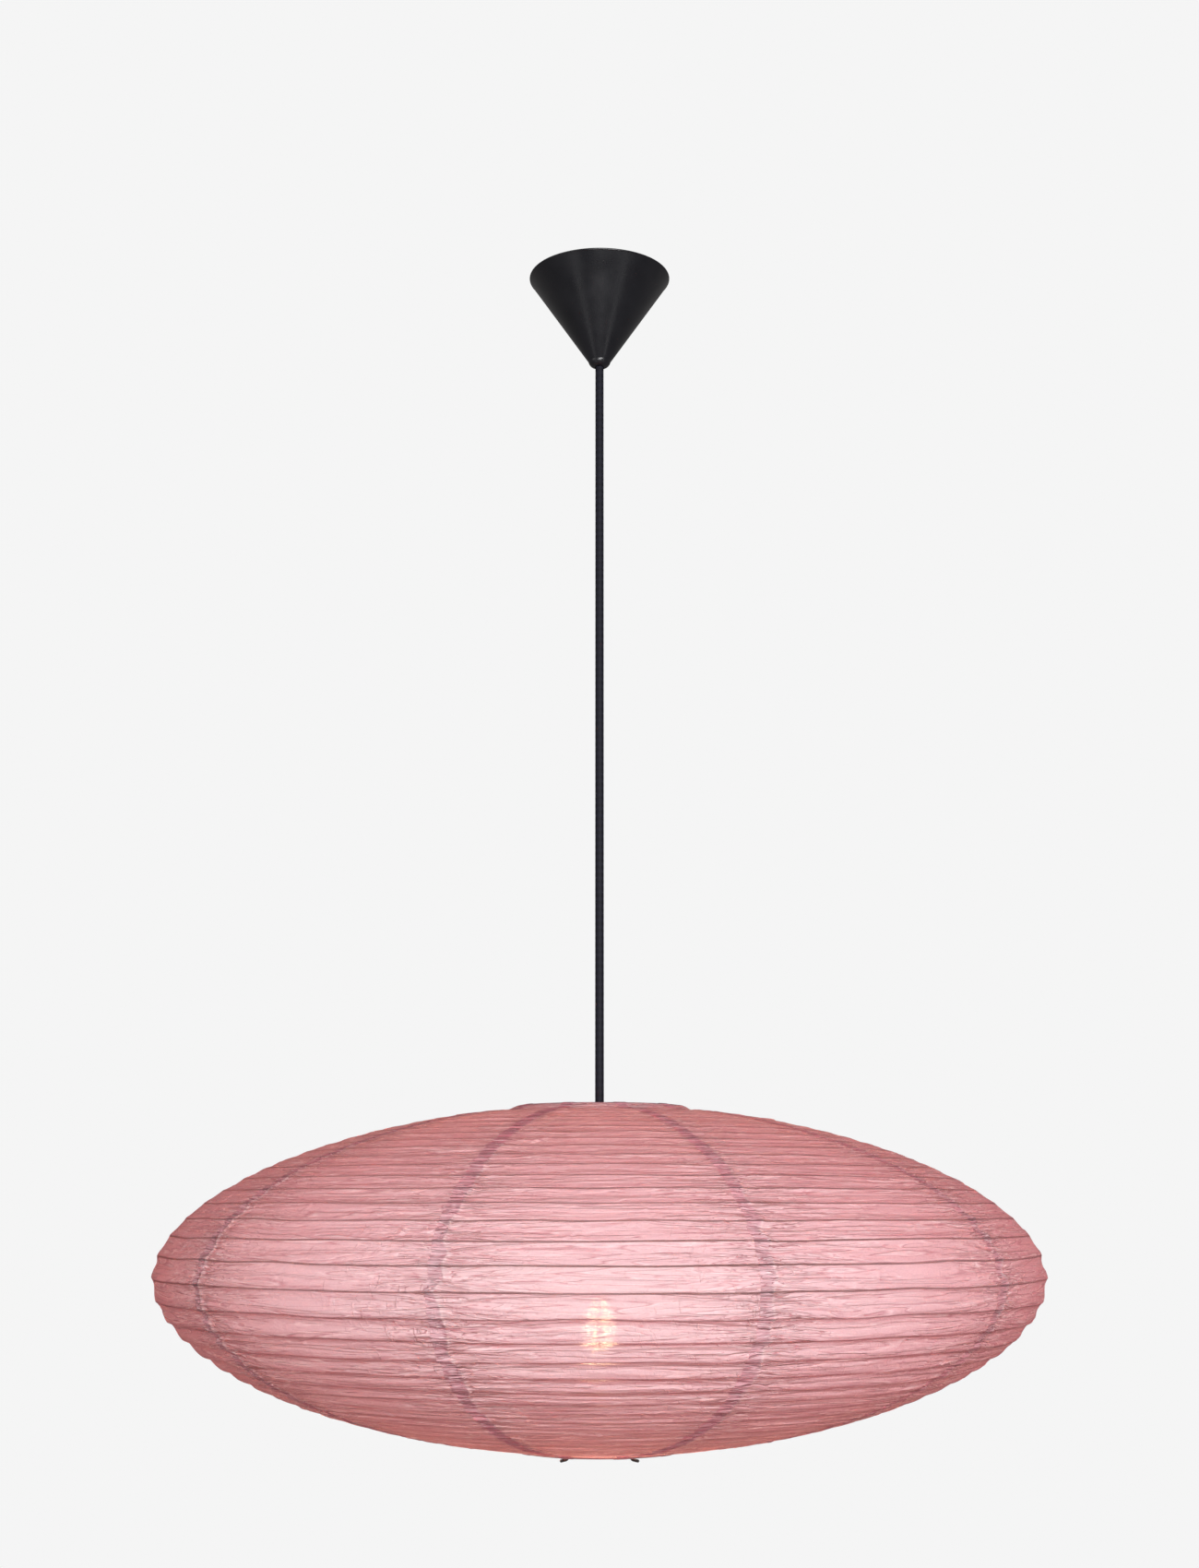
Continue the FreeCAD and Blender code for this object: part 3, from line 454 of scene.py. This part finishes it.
# ---- meshes ----
def grid_mesh(name, points, closed=False):
    """A sheet over a grid of points[row, column]; closed joins the last column to the first."""
    rows, columns = points.shape[:2]
    mesh = bpy.data.meshes.new(name)
    mesh.vertices.add(rows * columns)
    mesh.vertices.foreach_set("co", points.reshape(-1).astype(np.float32))
    index = np.arange(rows * columns).reshape(rows, columns)
    if closed:
        index = np.concatenate([index, index[:, :1]], axis=1)
    corners = [index[:-1, :-1], index[:-1, 1:], index[1:, 1:], index[1:, :-1]]
    quads = np.stack(corners, axis=-1).reshape(-1, 4)
    mesh.loops.add(quads.size)
    mesh.loops.foreach_set("vertex_index", quads.reshape(-1).astype(np.int32))
    mesh.polygons.add(len(quads))
    mesh.polygons.foreach_set("loop_start", np.arange(0, quads.size, 4, dtype=np.int32))
    mesh.polygons.foreach_set("use_smooth", np.full(len(quads), True))
    mesh.update(calc_edges=True)
    mesh.validate()
    thing = bpy.data.objects.new(name, mesh)
    bpy.context.scene.collection.objects.link(thing)
    return thing


def add_attribute(thing, name, values):
    """A value at each point of a grid's mesh, or a vector where values has a third axis."""
    kind, key = ("FLOAT_VECTOR", "vector") if values.ndim == 3 else ("FLOAT", "value")
    attribute = thing.data.attributes.new(name, kind, "POINT")
    attribute.data.foreach_set(key, values.reshape(-1).astype(np.float32))


# ---- the shade's form ----
def bell(distance, width):
    """1 at no distance, falling off smoothly over the width."""
    return np.exp(-((distance / width) ** 2))


def profile_curve():
    """Radius and height of the profile through the hoops' wires, at equal steps from the bottom edge up."""
    mouth_angle = math.acos((MOUTH_R / WIDEST) ** (SHADE_EXPONENT / 2))
    angle = np.linspace(0, mouth_angle, 4001)
    power = 2 / SHADE_EXPONENT
    r = WIDEST * np.cos(angle) ** power
    z = SHADE_HALF_HEIGHT * np.sin(angle) ** power
    r = np.concatenate([r[:0:-1], r])
    z = np.concatenate([-z[:0:-1], z])
    walked = np.concatenate([[0], np.cumsum(np.hypot(np.diff(r), np.diff(z)))])
    even = np.linspace(0, walked[-1], BANDS * ROWS_PER_BAND + 1)
    r = np.interp(even, walked, r)
    z = np.interp(even, walked, z)
    from_mouth = r - MOUTH_R
    rise = NECK_RISE * bell(from_mouth, NECK_RISE_REACH)
    dip = NECK_DIP * bell(from_mouth - NECK_DIP_PLACE, NECK_DIP_REACH)
    return r, z + np.sign(z) * (rise - dip), walked[-1]


profile_r, profile_z, profile_length = profile_curve()
slope_r = np.gradient(profile_r)
slope_z = np.gradient(profile_z)
slope = np.hypot(slope_r, slope_z)
normal_r = slope_z / slope
normal_z = -slope_r / slope
BAND = profile_length / BANDS
ROWS = len(profile_r)
line_number = np.arange(ROWS) / ROWS_PER_BAND       # 0 at the bottom edge, one more at each hoop
gore_width = profile_r * 2 * math.pi / GORES
sagging = np.clip((EQUATOR + 4 - line_number) / 6, 0, 1)    # 1 in the lower bands, where it sags most


def near_widest(line, spread):
    """1 at the widest hoop, falling off over that many bands."""
    return bell(line - EQUATOR, spread)


def crease(distance, width):
    """Cross-section of a sharp crease: a ridge with a shallow valley beside it."""
    t = distance / width
    return np.exp(-t * t) - 0.55 * np.exp(-((t - 1.7) ** 2))


def smooth_random(count, knots, amount):
    """A closed smooth random curve of count values through knots random ones."""
    values = rng.normal(0, amount, knots)
    values = np.concatenate([values, values[:1]])
    t = np.linspace(0, knots, count, endpoint=False)
    low = t.astype(int)
    part = t - low
    part = part * part * (3 - 2 * part)
    return values[low] * (1 - part) + values[low + 1] * part


def fan_crease(up, away, width, wide):
    """A fine crease that runs in from a seam and widens, with a slight wave."""
    start = rng.uniform(0.08, 0.92) * BAND
    lean = rng.normal(0, 0.11)
    reach = rng.uniform(0.010, 0.050) * (0.45 + 0.55 * width / WIDE_GORE)
    amount = rng.uniform(0.20, 0.75) * MM * (0.5 + 0.6 * wide)
    wave = 0.0007 * np.sin(away / rng.uniform(0.006, 0.014) + rng.uniform(0, 6))
    return amount * bell(away, reach) * crease(up - start - lean * away - wave, 0.0008 + 0.030 * away)


def pinch_crease(up, away, wide):
    """A short steep crease right at a seam."""
    start = rng.uniform(0.05, 0.95) * BAND
    lean = rng.normal(0, 0.50)
    reach = rng.uniform(0.004, 0.012)
    amount = rng.uniform(0.40, 1.10) * MM * wide
    return amount * bell(away, reach) * crease(up - start - lean * away, 0.0009 + 0.05 * away)


def long_crease(up, x, width):
    """A long nearly level crease anywhere in the band."""
    start = rng.uniform(0.12, 0.88) * BAND
    centre = rng.uniform(0.1, 0.9) * width
    reach = rng.uniform(0.015, 0.060)
    lean = rng.normal(0, 0.05)
    amount = rng.uniform(0.12, 0.45) * MM
    wave = 0.0009 * np.sin(x / rng.uniform(0.008, 0.02) + rng.uniform(0, 6))
    return amount * bell(x - centre, reach) * crease(up - start - lean * (x - centre) - wave, 0.0011)


def upright_crease(up, x, width):
    """A short crease down from a hoop or up from the one below it."""
    centre = rng.uniform(0.04, 0.96) * width
    lean = rng.normal(0, 0.6)
    length = rng.uniform(0.25, 0.8) * BAND
    from_hoop = BAND - up if rng.random() < 0.6 else up
    fade = np.clip((length - from_hoop) / (0.12 * BAND), 0, 1)
    amount = rng.uniform(0.20, 0.65) * MM
    bend = rng.normal(0, 0.0016) * np.sin(math.pi * up / BAND)
    return amount * fade * crease(x - centre - lean * (up - 0.5 * BAND) - bend, rng.uniform(0.0009, 0.0015))


def band_relief(band, across):
    """Height of the creases over one band of the whole shade, in metres."""
    share_up = np.linspace(0, 1, ROWS_PER_BAND + 1)[:, None]
    up = np.linspace(0, BAND, ROWS_PER_BAND + 1)[:, None]
    wide = near_widest(band + 0.5, 8.0)
    width = gore_width[int((band + 0.5) * ROWS_PER_BAND)]
    relief = np.zeros((ROWS_PER_BAND + 1, across.size))
    for gore in range(GORES):
        columns = slice(gore * COLUMNS, (gore + 1) * COLUMNS)
        x = across[columns] * width
        for away in (x, width - x):
            fans = 2 + rng.poisson(2.2)
            pinches = rng.poisson(3.2 * wide)
            for _ in range(fans):
                relief[:, columns] += fan_crease(up, away, width, wide)
            for _ in range(pinches):
                relief[:, columns] += pinch_crease(up, away, wide)
        longs = rng.poisson(2.0)
        uprights = rng.poisson(5.5 * near_widest(band + 0.5, 6.5))
        for _ in range(longs):
            relief[:, columns] += long_crease(up, x, width)
        for _ in range(uprights):
            relief[:, columns] += upright_crease(up, x, width)
    return relief * (4 * share_up * (1 - share_up)) ** 0.4


def whole_relief():
    """Height over the smooth shade and shift along the profile for the whole shade, rows by columns."""
    columns = GORES * COLUMNS
    across = np.tile(np.arange(COLUMNS) / COLUMNS, GORES)
    height = np.zeros((ROWS, columns))
    for band in range(BANDS):
        rows = slice(band * ROWS_PER_BAND, (band + 1) * ROWS_PER_BAND + 1)
        height[rows] += band_relief(band, across)
    part = line_number % 1
    sag = part ** (1 + 0.9 * sagging)
    depth = SAG_EVERYWHERE + (SAG_WIDEST + SAG_LOW * sagging) * near_widest(line_number, 9.0)
    unevenness = np.array([1 + smooth_random(columns, 30, 0.30) for _ in range(BANDS + 1)])
    height -= (4 * sag * (1 - sag) * depth)[:, None] * unevenness[line_number.astype(int)]
    at_lines = np.array([smooth_random(columns, 47, LINE_WAVER) for _ in range(BANDS + 1)])
    low = np.minimum(line_number.astype(int), BANDS - 1)
    share = (line_number - low)[:, None]
    shift = at_lines[low] * (1 - share) + at_lines[low + 1] * share
    shift[BOTTOM] = 0
    shift[TOP] = 0
    return height, shift


def seam_wander():
    """Sideways shift of each seam, in metres, at every row: it zigzags where the paper is pinched."""
    wander = np.zeros((GORES, ROWS))
    half_lines = np.arange(2 * BANDS + 1) / 2
    for seam in range(GORES):
        knots = rng.normal(0, SEAM_WAVER, half_lines.size) * near_widest(half_lines, 7.0)
        knots += rng.normal(0, 0.00025, half_lines.size)
        wander[seam] = np.interp(line_number, half_lines, knots)
    return wander


def seam_dent():
    """Depth of the pinch along each seam, in metres, at every row."""
    dent = np.zeros((GORES, ROWS))
    part = line_number % 1
    arch = 4 * part * (1 - part)
    for seam in range(GORES):
        amount = rng.uniform(0.3, 1.0, BANDS + 1)[line_number.astype(int)]
        dent[seam] = -SEAM_DENT * amount * arch * near_widest(line_number, 7.5)
    return dent


relief, line_shift = whole_relief()
wander = seam_wander()
dent = seam_dent()


def distance_across():
    """How far each point of a gore lies from its first seam: below zero on the lap, which ends raggedly."""
    half_lines = np.arange(0, BANDS + 1, 0.5)
    ragged = 1 + 0.03 * np.interp(line_number, half_lines, rng.normal(0, 1, half_lines.size))
    lap = np.linspace(-1, 0, LAP_COLUMNS, endpoint=False)[None, :] * LAP * ragged[:, None]
    main = np.linspace(0, 1, COLUMNS + 1)[None, :] * gore_width[:, None]
    return np.concatenate([lap, main], axis=1)


def gore_facts(gore, x, from_first, from_next):
    """What the paper's material needs to know at each point of one gore."""
    line = np.broadcast_to(line_number[:, None], x.shape)
    quarters = np.arange(0, BANDS + 1, 0.25)
    patches = np.interp(line_number, quarters, rng.uniform(0.1, 1.0, quarters.size))[:, None]
    lowish = near_widest(line + 3, 7.0)
    own_x = x + gore * SHEET_STEP
    near_seam = np.exp(-np.minimum(from_first, from_next) / 0.03)
    in_band = (line % 1 - 0.5) * (1 + 1.3 * near_seam)
    return {
        "lap": (x < -0.0003) * (1 - 0.75 * near_widest(line, 7.0)),
        "fold": np.abs((line + 0.5) % 1 - 0.5) * BAND,
        # crumple and tick set how strongly the fan and tick creases show, in relief and in their painted
        # shade and highlight lines
        "crumple": np.maximum(np.exp(-from_first / 0.040), np.exp(-from_next / 0.040)),
        # ridge: where the painted highlight of the seam ridges goes
        "ridge": (bell(x, 0.0009) + bell(from_next, 0.0009)) * near_widest(line, 7.5) * patches,
        "tick": 0.45 * lowish * np.exp(-from_next / 0.05) + 0.15 * lowish * np.exp(-from_first / 0.02),
        # sag: how strongly the painted shade of the hoop lines shows, more in the lower bands
        "sag": 0.05 + 0.22 * np.broadcast_to(sagging[:, None], x.shape),
        "paper_xy": np.stack([own_x, line * BAND, np.zeros_like(x)], axis=-1),
        "pleat_xy": np.stack([own_x, in_band * BAND, np.floor(line) * 0.4], axis=-1),
    }


def gore_points(gore):
    """Points of one gore, rows by columns, with its facts for the paper's material."""
    x = distance_across()
    width = gore_width[:, None]
    from_first = np.abs(x)
    from_next = np.abs(width - x)
    pull_first = bell(from_first, SEAM_PULL)
    pull_next = bell(from_next, SEAM_PULL)
    next_seam = (gore + 1) % GORES

    at = x / width * COLUMNS + gore * COLUMNS
    low = np.floor(at).astype(int)
    part = at - low
    rows = np.arange(ROWS)[:, None]
    left = low % (GORES * COLUMNS)
    right = (low + 1) % (GORES * COLUMNS)
    height = relief[rows, left] * (1 - part) + relief[rows, right] * part
    shift = line_shift[rows, left] * (1 - part) + line_shift[rows, right] * part

    height = height * (1 - 0.3 * np.maximum(pull_first, pull_next))
    height += dent[gore][:, None] * pull_first + dent[next_seam][:, None] * pull_next
    pinched_up = bell(x, 0.0011) + bell(from_next, 0.0011)
    height += SEAM_RIDGE * pinched_up * near_widest(line_number, 7.5)[:, None]
    height += LAP_LIFT * np.clip(-x / LAP_EDGE, 0, 1) + PAPER_OFF_WIRE
    sideways = wander[gore][:, None] * pull_first + wander[next_seam][:, None] * pull_next

    start = FIRST_SEAM + gore * 2 * math.pi / GORES
    angle = start + (x + sideways) / profile_r[:, None]
    r = profile_r[:, None] + normal_r[:, None] * height - normal_z[:, None] * shift
    z = profile_z[:, None] + normal_z[:, None] * height + normal_r[:, None] * shift + MIDDLE_Z
    points = np.stack([r * np.cos(angle), r * np.sin(angle), z], axis=-1)
    return points, gore_facts(gore, x, from_first, from_next)


def joined(old, new, end):
    """Both grids' rows as one grid, with the new rows beyond the old ones' end, BOTTOM or TOP."""
    return np.concatenate([old, new] if end == TOP else [new, old])


def wrapped(points, facts, end):
    """The grid and facts with rows added where the paper folds over the ring at one end, BOTTOM or TOP."""
    side = 1 if end == TOP else -1
    ring_z = TOP_RING_Z if end == TOP else BOTTOM_RING_Z
    edge = points[end]
    edge_r = np.hypot(edge[:, 0], edge[:, 1])
    way = edge[:, :2] / edge_r[:, None]
    start = np.arctan2(side * (edge[:, 2] - ring_z), edge_r - MOUTH_R)
    radius = np.hypot(edge[:, 2] - ring_z, edge_r - MOUTH_R)
    rows = []
    for step in range(1, WRAP_STEPS + 1):
        share = step / WRAP_STEPS
        angle = start + share * WRAP_TURN
        bow = radius * (1 - share) + WRAP_END_R * share
        r = MOUTH_R + bow * np.cos(angle)
        z = ring_z + side * bow * np.sin(angle)
        rows.append(np.stack([way[:, 0] * r, way[:, 1] * r, z], axis=-1))
    added = np.stack(rows if end == TOP else rows[::-1])
    walked = np.arange(1, WRAP_STEPS + 1)[:, None] * WRAP_STEP_LENGTH * side
    longer = {}
    for name, values in facts.items():
        copied = np.repeat(values[end][None], WRAP_STEPS, axis=0).astype(float)
        if name in ("paper_xy", "pleat_xy"):
            copied[..., 1] += walked if end == TOP else walked[::-1]
        longer[name] = joined(values, copied, end)
    return joined(points, added, end), longer


def make_gores():
    """The ten strips of paper, each with its laps, creases and folded ends."""
    for gore in range(GORES):
        points, facts = gore_points(gore)
        for end in (BOTTOM, TOP):
            points, facts = wrapped(points, facts, end)
        name = "paper_gore_%02d" % (gore + 1)
        paper = grid_mesh("rice_" + name, points)
        for key, values in facts.items():
            add_attribute(paper, key, values)
        paper.data.materials.append(materials["shade_paper"])
        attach(paper, "shade")
        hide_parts(name)
        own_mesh(paper)


def hoop_mesh(line):
    """The wire ring under one line of the paper; it strays up and down with the line."""
    around = np.linspace(0, 2 * math.pi, HOOP_STEPS, endpoint=False)[:, None]
    section = np.linspace(0, 2 * math.pi, HOOP_WIRE_SIDES, endpoint=False)[None, :]
    row = line * ROWS_PER_BAND
    column = (around[:, 0] - FIRST_SEAM) / (2 * math.pi) * GORES * COLUMNS
    off = np.interp(column, np.arange(GORES * COLUMNS), line_shift[row], period=GORES * COLUMNS)[:, None]
    r = profile_r[row] - normal_z[row] * off + HOOP_WIRE_R * np.cos(section)
    z = profile_z[row] + normal_r[row] * off + MIDDLE_Z + HOOP_WIRE_R * np.sin(section)
    ring = np.stack([r * np.cos(around), r * np.sin(around), z], axis=-1)
    return grid_mesh("hoop_%02d" % line, np.concatenate([ring, ring[:1]]), closed=True)


def make_hoops():
    """Wire hoops under the paper, one mesh for each CAD node that they stand for."""
    groups = {
        "hoops_lower": range(1, HOOPS_PER_HALF + 1),
        "hoop_widest": range(HOOPS_PER_HALF + 1, HOOPS_PER_HALF + 2),
        "hoops_upper": range(HOOPS_PER_HALF + 2, BANDS),
    }
    for name, lines in groups.items():
        made = [hoop_mesh(line) for line in lines]
        wire = made[0]
        if len(made) > 1:
            with bpy.context.temp_override(active_object=wire, selected_editable_objects=made):
                bpy.ops.object.join()
        wire.name = "wire_" + name
        wire.data.materials.append(materials["hoop_wire"])
        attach(wire, "shade")
        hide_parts(name)
        wire.visible_shadow = False
        wire.visible_diffuse = False
        wire.visible_transmission = False
        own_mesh(wire)


# ---- cord ----
def cord_path():
    """Points along the taut cord, read from a curve through its route."""
    route = [(0, 0, CORD_TOP_Z), (0, 0, -0.25), (0, 0, -0.46), (0, 0, CORD_END_Z)]
    curve = bpy.data.curves.new("cord_route", "CURVE")
    curve.dimensions = "3D"
    curve.resolution_u = 12
    spline = curve.splines.new("NURBS")
    spline.points.add(len(route) - 1)
    for point, place in zip(spline.points, route):
        point.co = (*place, 1)
    spline.order_u = 3
    spline.use_endpoint_u = True
    guide = bpy.data.objects.new("cord_route", curve)
    bpy.context.scene.collection.objects.link(guide)
    line = bpy.data.meshes.new_from_object(guide)
    path = [tuple(vertex.co) for vertex in line.vertices]
    bpy.data.objects.remove(guide)
    return path


def make_cord():
    """The textile cord: a tube along the path with a braid in its skin."""
    path = cord_path()
    heights = np.array([place[2] for place in path])
    z = np.interp(np.linspace(0, 1, CORD_RINGS), np.linspace(0, 1, heights.size), heights)[:, None]
    around = np.linspace(0, 2 * math.pi, CORD_SIDES, endpoint=False)[None, :]
    turn = 2 * math.pi * z / BRAID_PITCH
    over = np.sin(BRAID_CARRIERS * around + turn)
    under = np.sin(BRAID_CARRIERS * around - turn)
    yarn = 0.5 + 0.5 * np.tanh(2.5 * over * under)
    strand = np.where(over * under > 0, np.abs(over), np.abs(under))
    r = CORD_R - BRAID_DEPTH + STRAND_HEIGHT * strand
    tube = np.stack([r * np.cos(around), r * np.sin(around), z + 0 * around], axis=-1)
    cord = grid_mesh("textile_cord", tube, closed=True)
    # yarn mixes the two yarn colours with the strand height, so the gaps between strands get a painted
    # shade
    add_attribute(cord, "yarn", 0.65 * yarn + 0.35 * strand)
    cord.data.materials.append(materials["cord_textile"])
    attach(cord, "cord")
    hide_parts("pendant_cord")


# ---- CAD nodes ----
def paint_frame():
    """Put each CAD node's own material on it."""
    for entry in frame["record"]["subparts"]:
        node = frame["nodes"][entry["node"]]
        for place in node.material_slots:
            place.material = materials[entry["material_slot"]]


# ---- stage ----
def make_camera():
    data = bpy.data.cameras.new("camera")
    data.lens = LENS
    camera = bpy.data.objects.new("camera", data)
    camera.location = (0, -EYE_DISTANCE, MIDDLE_Z + EYE_ABOVE_MIDDLE)
    camera.rotation_euler = (math.pi / 2 + LOOKING_UP, 0, 0)
    bpy.context.scene.collection.objects.link(camera)
    bpy.context.scene.camera = camera


def soft_light(name, place, target, size, power, colour=(1.0, 1.0, 1.0)):
    data = bpy.data.lights.new(name, "AREA")
    data.shape = "RECTANGLE"
    data.size, data.size_y = size
    data.energy = power
    data.color = colour
    lamp = bpy.data.objects.new(name, data)
    lamp.location = place
    way = np.array(target, float) - np.array(place, float)
    tilt = math.atan2(math.hypot(way[0], way[1]), -way[2])
    lamp.rotation_euler = (tilt, 0, math.atan2(way[1], way[0]) - math.pi / 2)
    bpy.context.scene.collection.objects.link(lamp)


def make_world():
    """A pale background that the camera sees, over a weaker one that lights the lamp."""
    world = bpy.data.worlds.new("studio")
    bpy.context.scene.world = world
    world.use_nodes = True
    tree = world.node_tree
    tree.nodes.clear()
    seen = tree.nodes.new("ShaderNodeBackground")
    seen.inputs["Color"].default_value = BACKGROUND
    lighting = tree.nodes.new("ShaderNodeBackground")
    lighting.inputs["Color"].default_value = (1.0, 0.97, 0.97, 1.0)
    lighting.inputs["Strength"].default_value = 0.20
    path = tree.nodes.new("ShaderNodeLightPath")
    mixed = tree.nodes.new("ShaderNodeMixShader")
    out = tree.nodes.new("ShaderNodeOutputWorld")
    tree.links.new(path.outputs["Is Camera Ray"], mixed.inputs[0])
    tree.links.new(lighting.outputs[0], mixed.inputs[1])
    tree.links.new(seen.outputs[0], mixed.inputs[2])
    tree.links.new(mixed.outputs[0], out.inputs[0])


def make_floor():
    """A round floor as pale as the background, far below the lamp."""
    around = np.linspace(0, 2 * math.pi, 96, endpoint=False)[None, :]
    r = np.array([0.01, 30.0])[:, None]
    points = np.stack([r * np.cos(around), r * np.sin(around), 0 * around * r + FLOOR_Z], axis=-1)
    floor = grid_mesh("floor", points, closed=True)
    n = Nodes("floor")
    glow = n.shader("ShaderNodeEmission", Color=BACKGROUND)
    floor.data.materials.append(n.finish(glow.outputs[0]))
    floor.visible_diffuse = False
    floor.visible_glossy = False
    floor.visible_shadow = False


def make_lights():
    middle = (0, 0, MIDDLE_Z)
    soft_light("key", (1.0, -2.7, -0.05), middle, (0.9, 0.9), 60.0)
    soft_light("front", (0.1, -3.0, -0.85), middle, (1.2, 1.0), 57.0)
    soft_light("left", (-2.4, -1.6, -0.2), middle, (1.4, 1.4), 10.0, (1.0, 0.98, 0.95))
    for side in (-1, 1):
        soft_light("low_strip", (1.55 * side, -1.35, -1.9), (0, 0, -0.05), (0.30, 0.8), 1.3)
    soft_light("top", (-0.3, -1.2, 1.1), middle, (2.0, 2.0), 7.0)


def make_stage():
    bpy.context.scene.view_settings.view_transform = "Standard"
    make_world()
    make_floor()
    make_lights()


def make_bulb_light():
    """The light that the filaments throw inside the shade."""
    low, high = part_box("bulb_filaments")
    data = bpy.data.lights.new("bulb_light", "POINT")
    data.energy = 0.9
    data.color = (1.0, 0.74, 0.50)
    data.shadow_soft_size = 0.012
    lamp = bpy.data.objects.new("bulb_light", data)
    lamp.location = (0, 0, 0.5 * (low.z + high.z))
    lamp.visible_camera = False
    bpy.context.scene.collection.objects.link(lamp)
    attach(lamp, "bulb")


make_camera()
make_stage()
make_cord()
make_gores()
make_hoops()
paint_frame()
make_bulb_light()
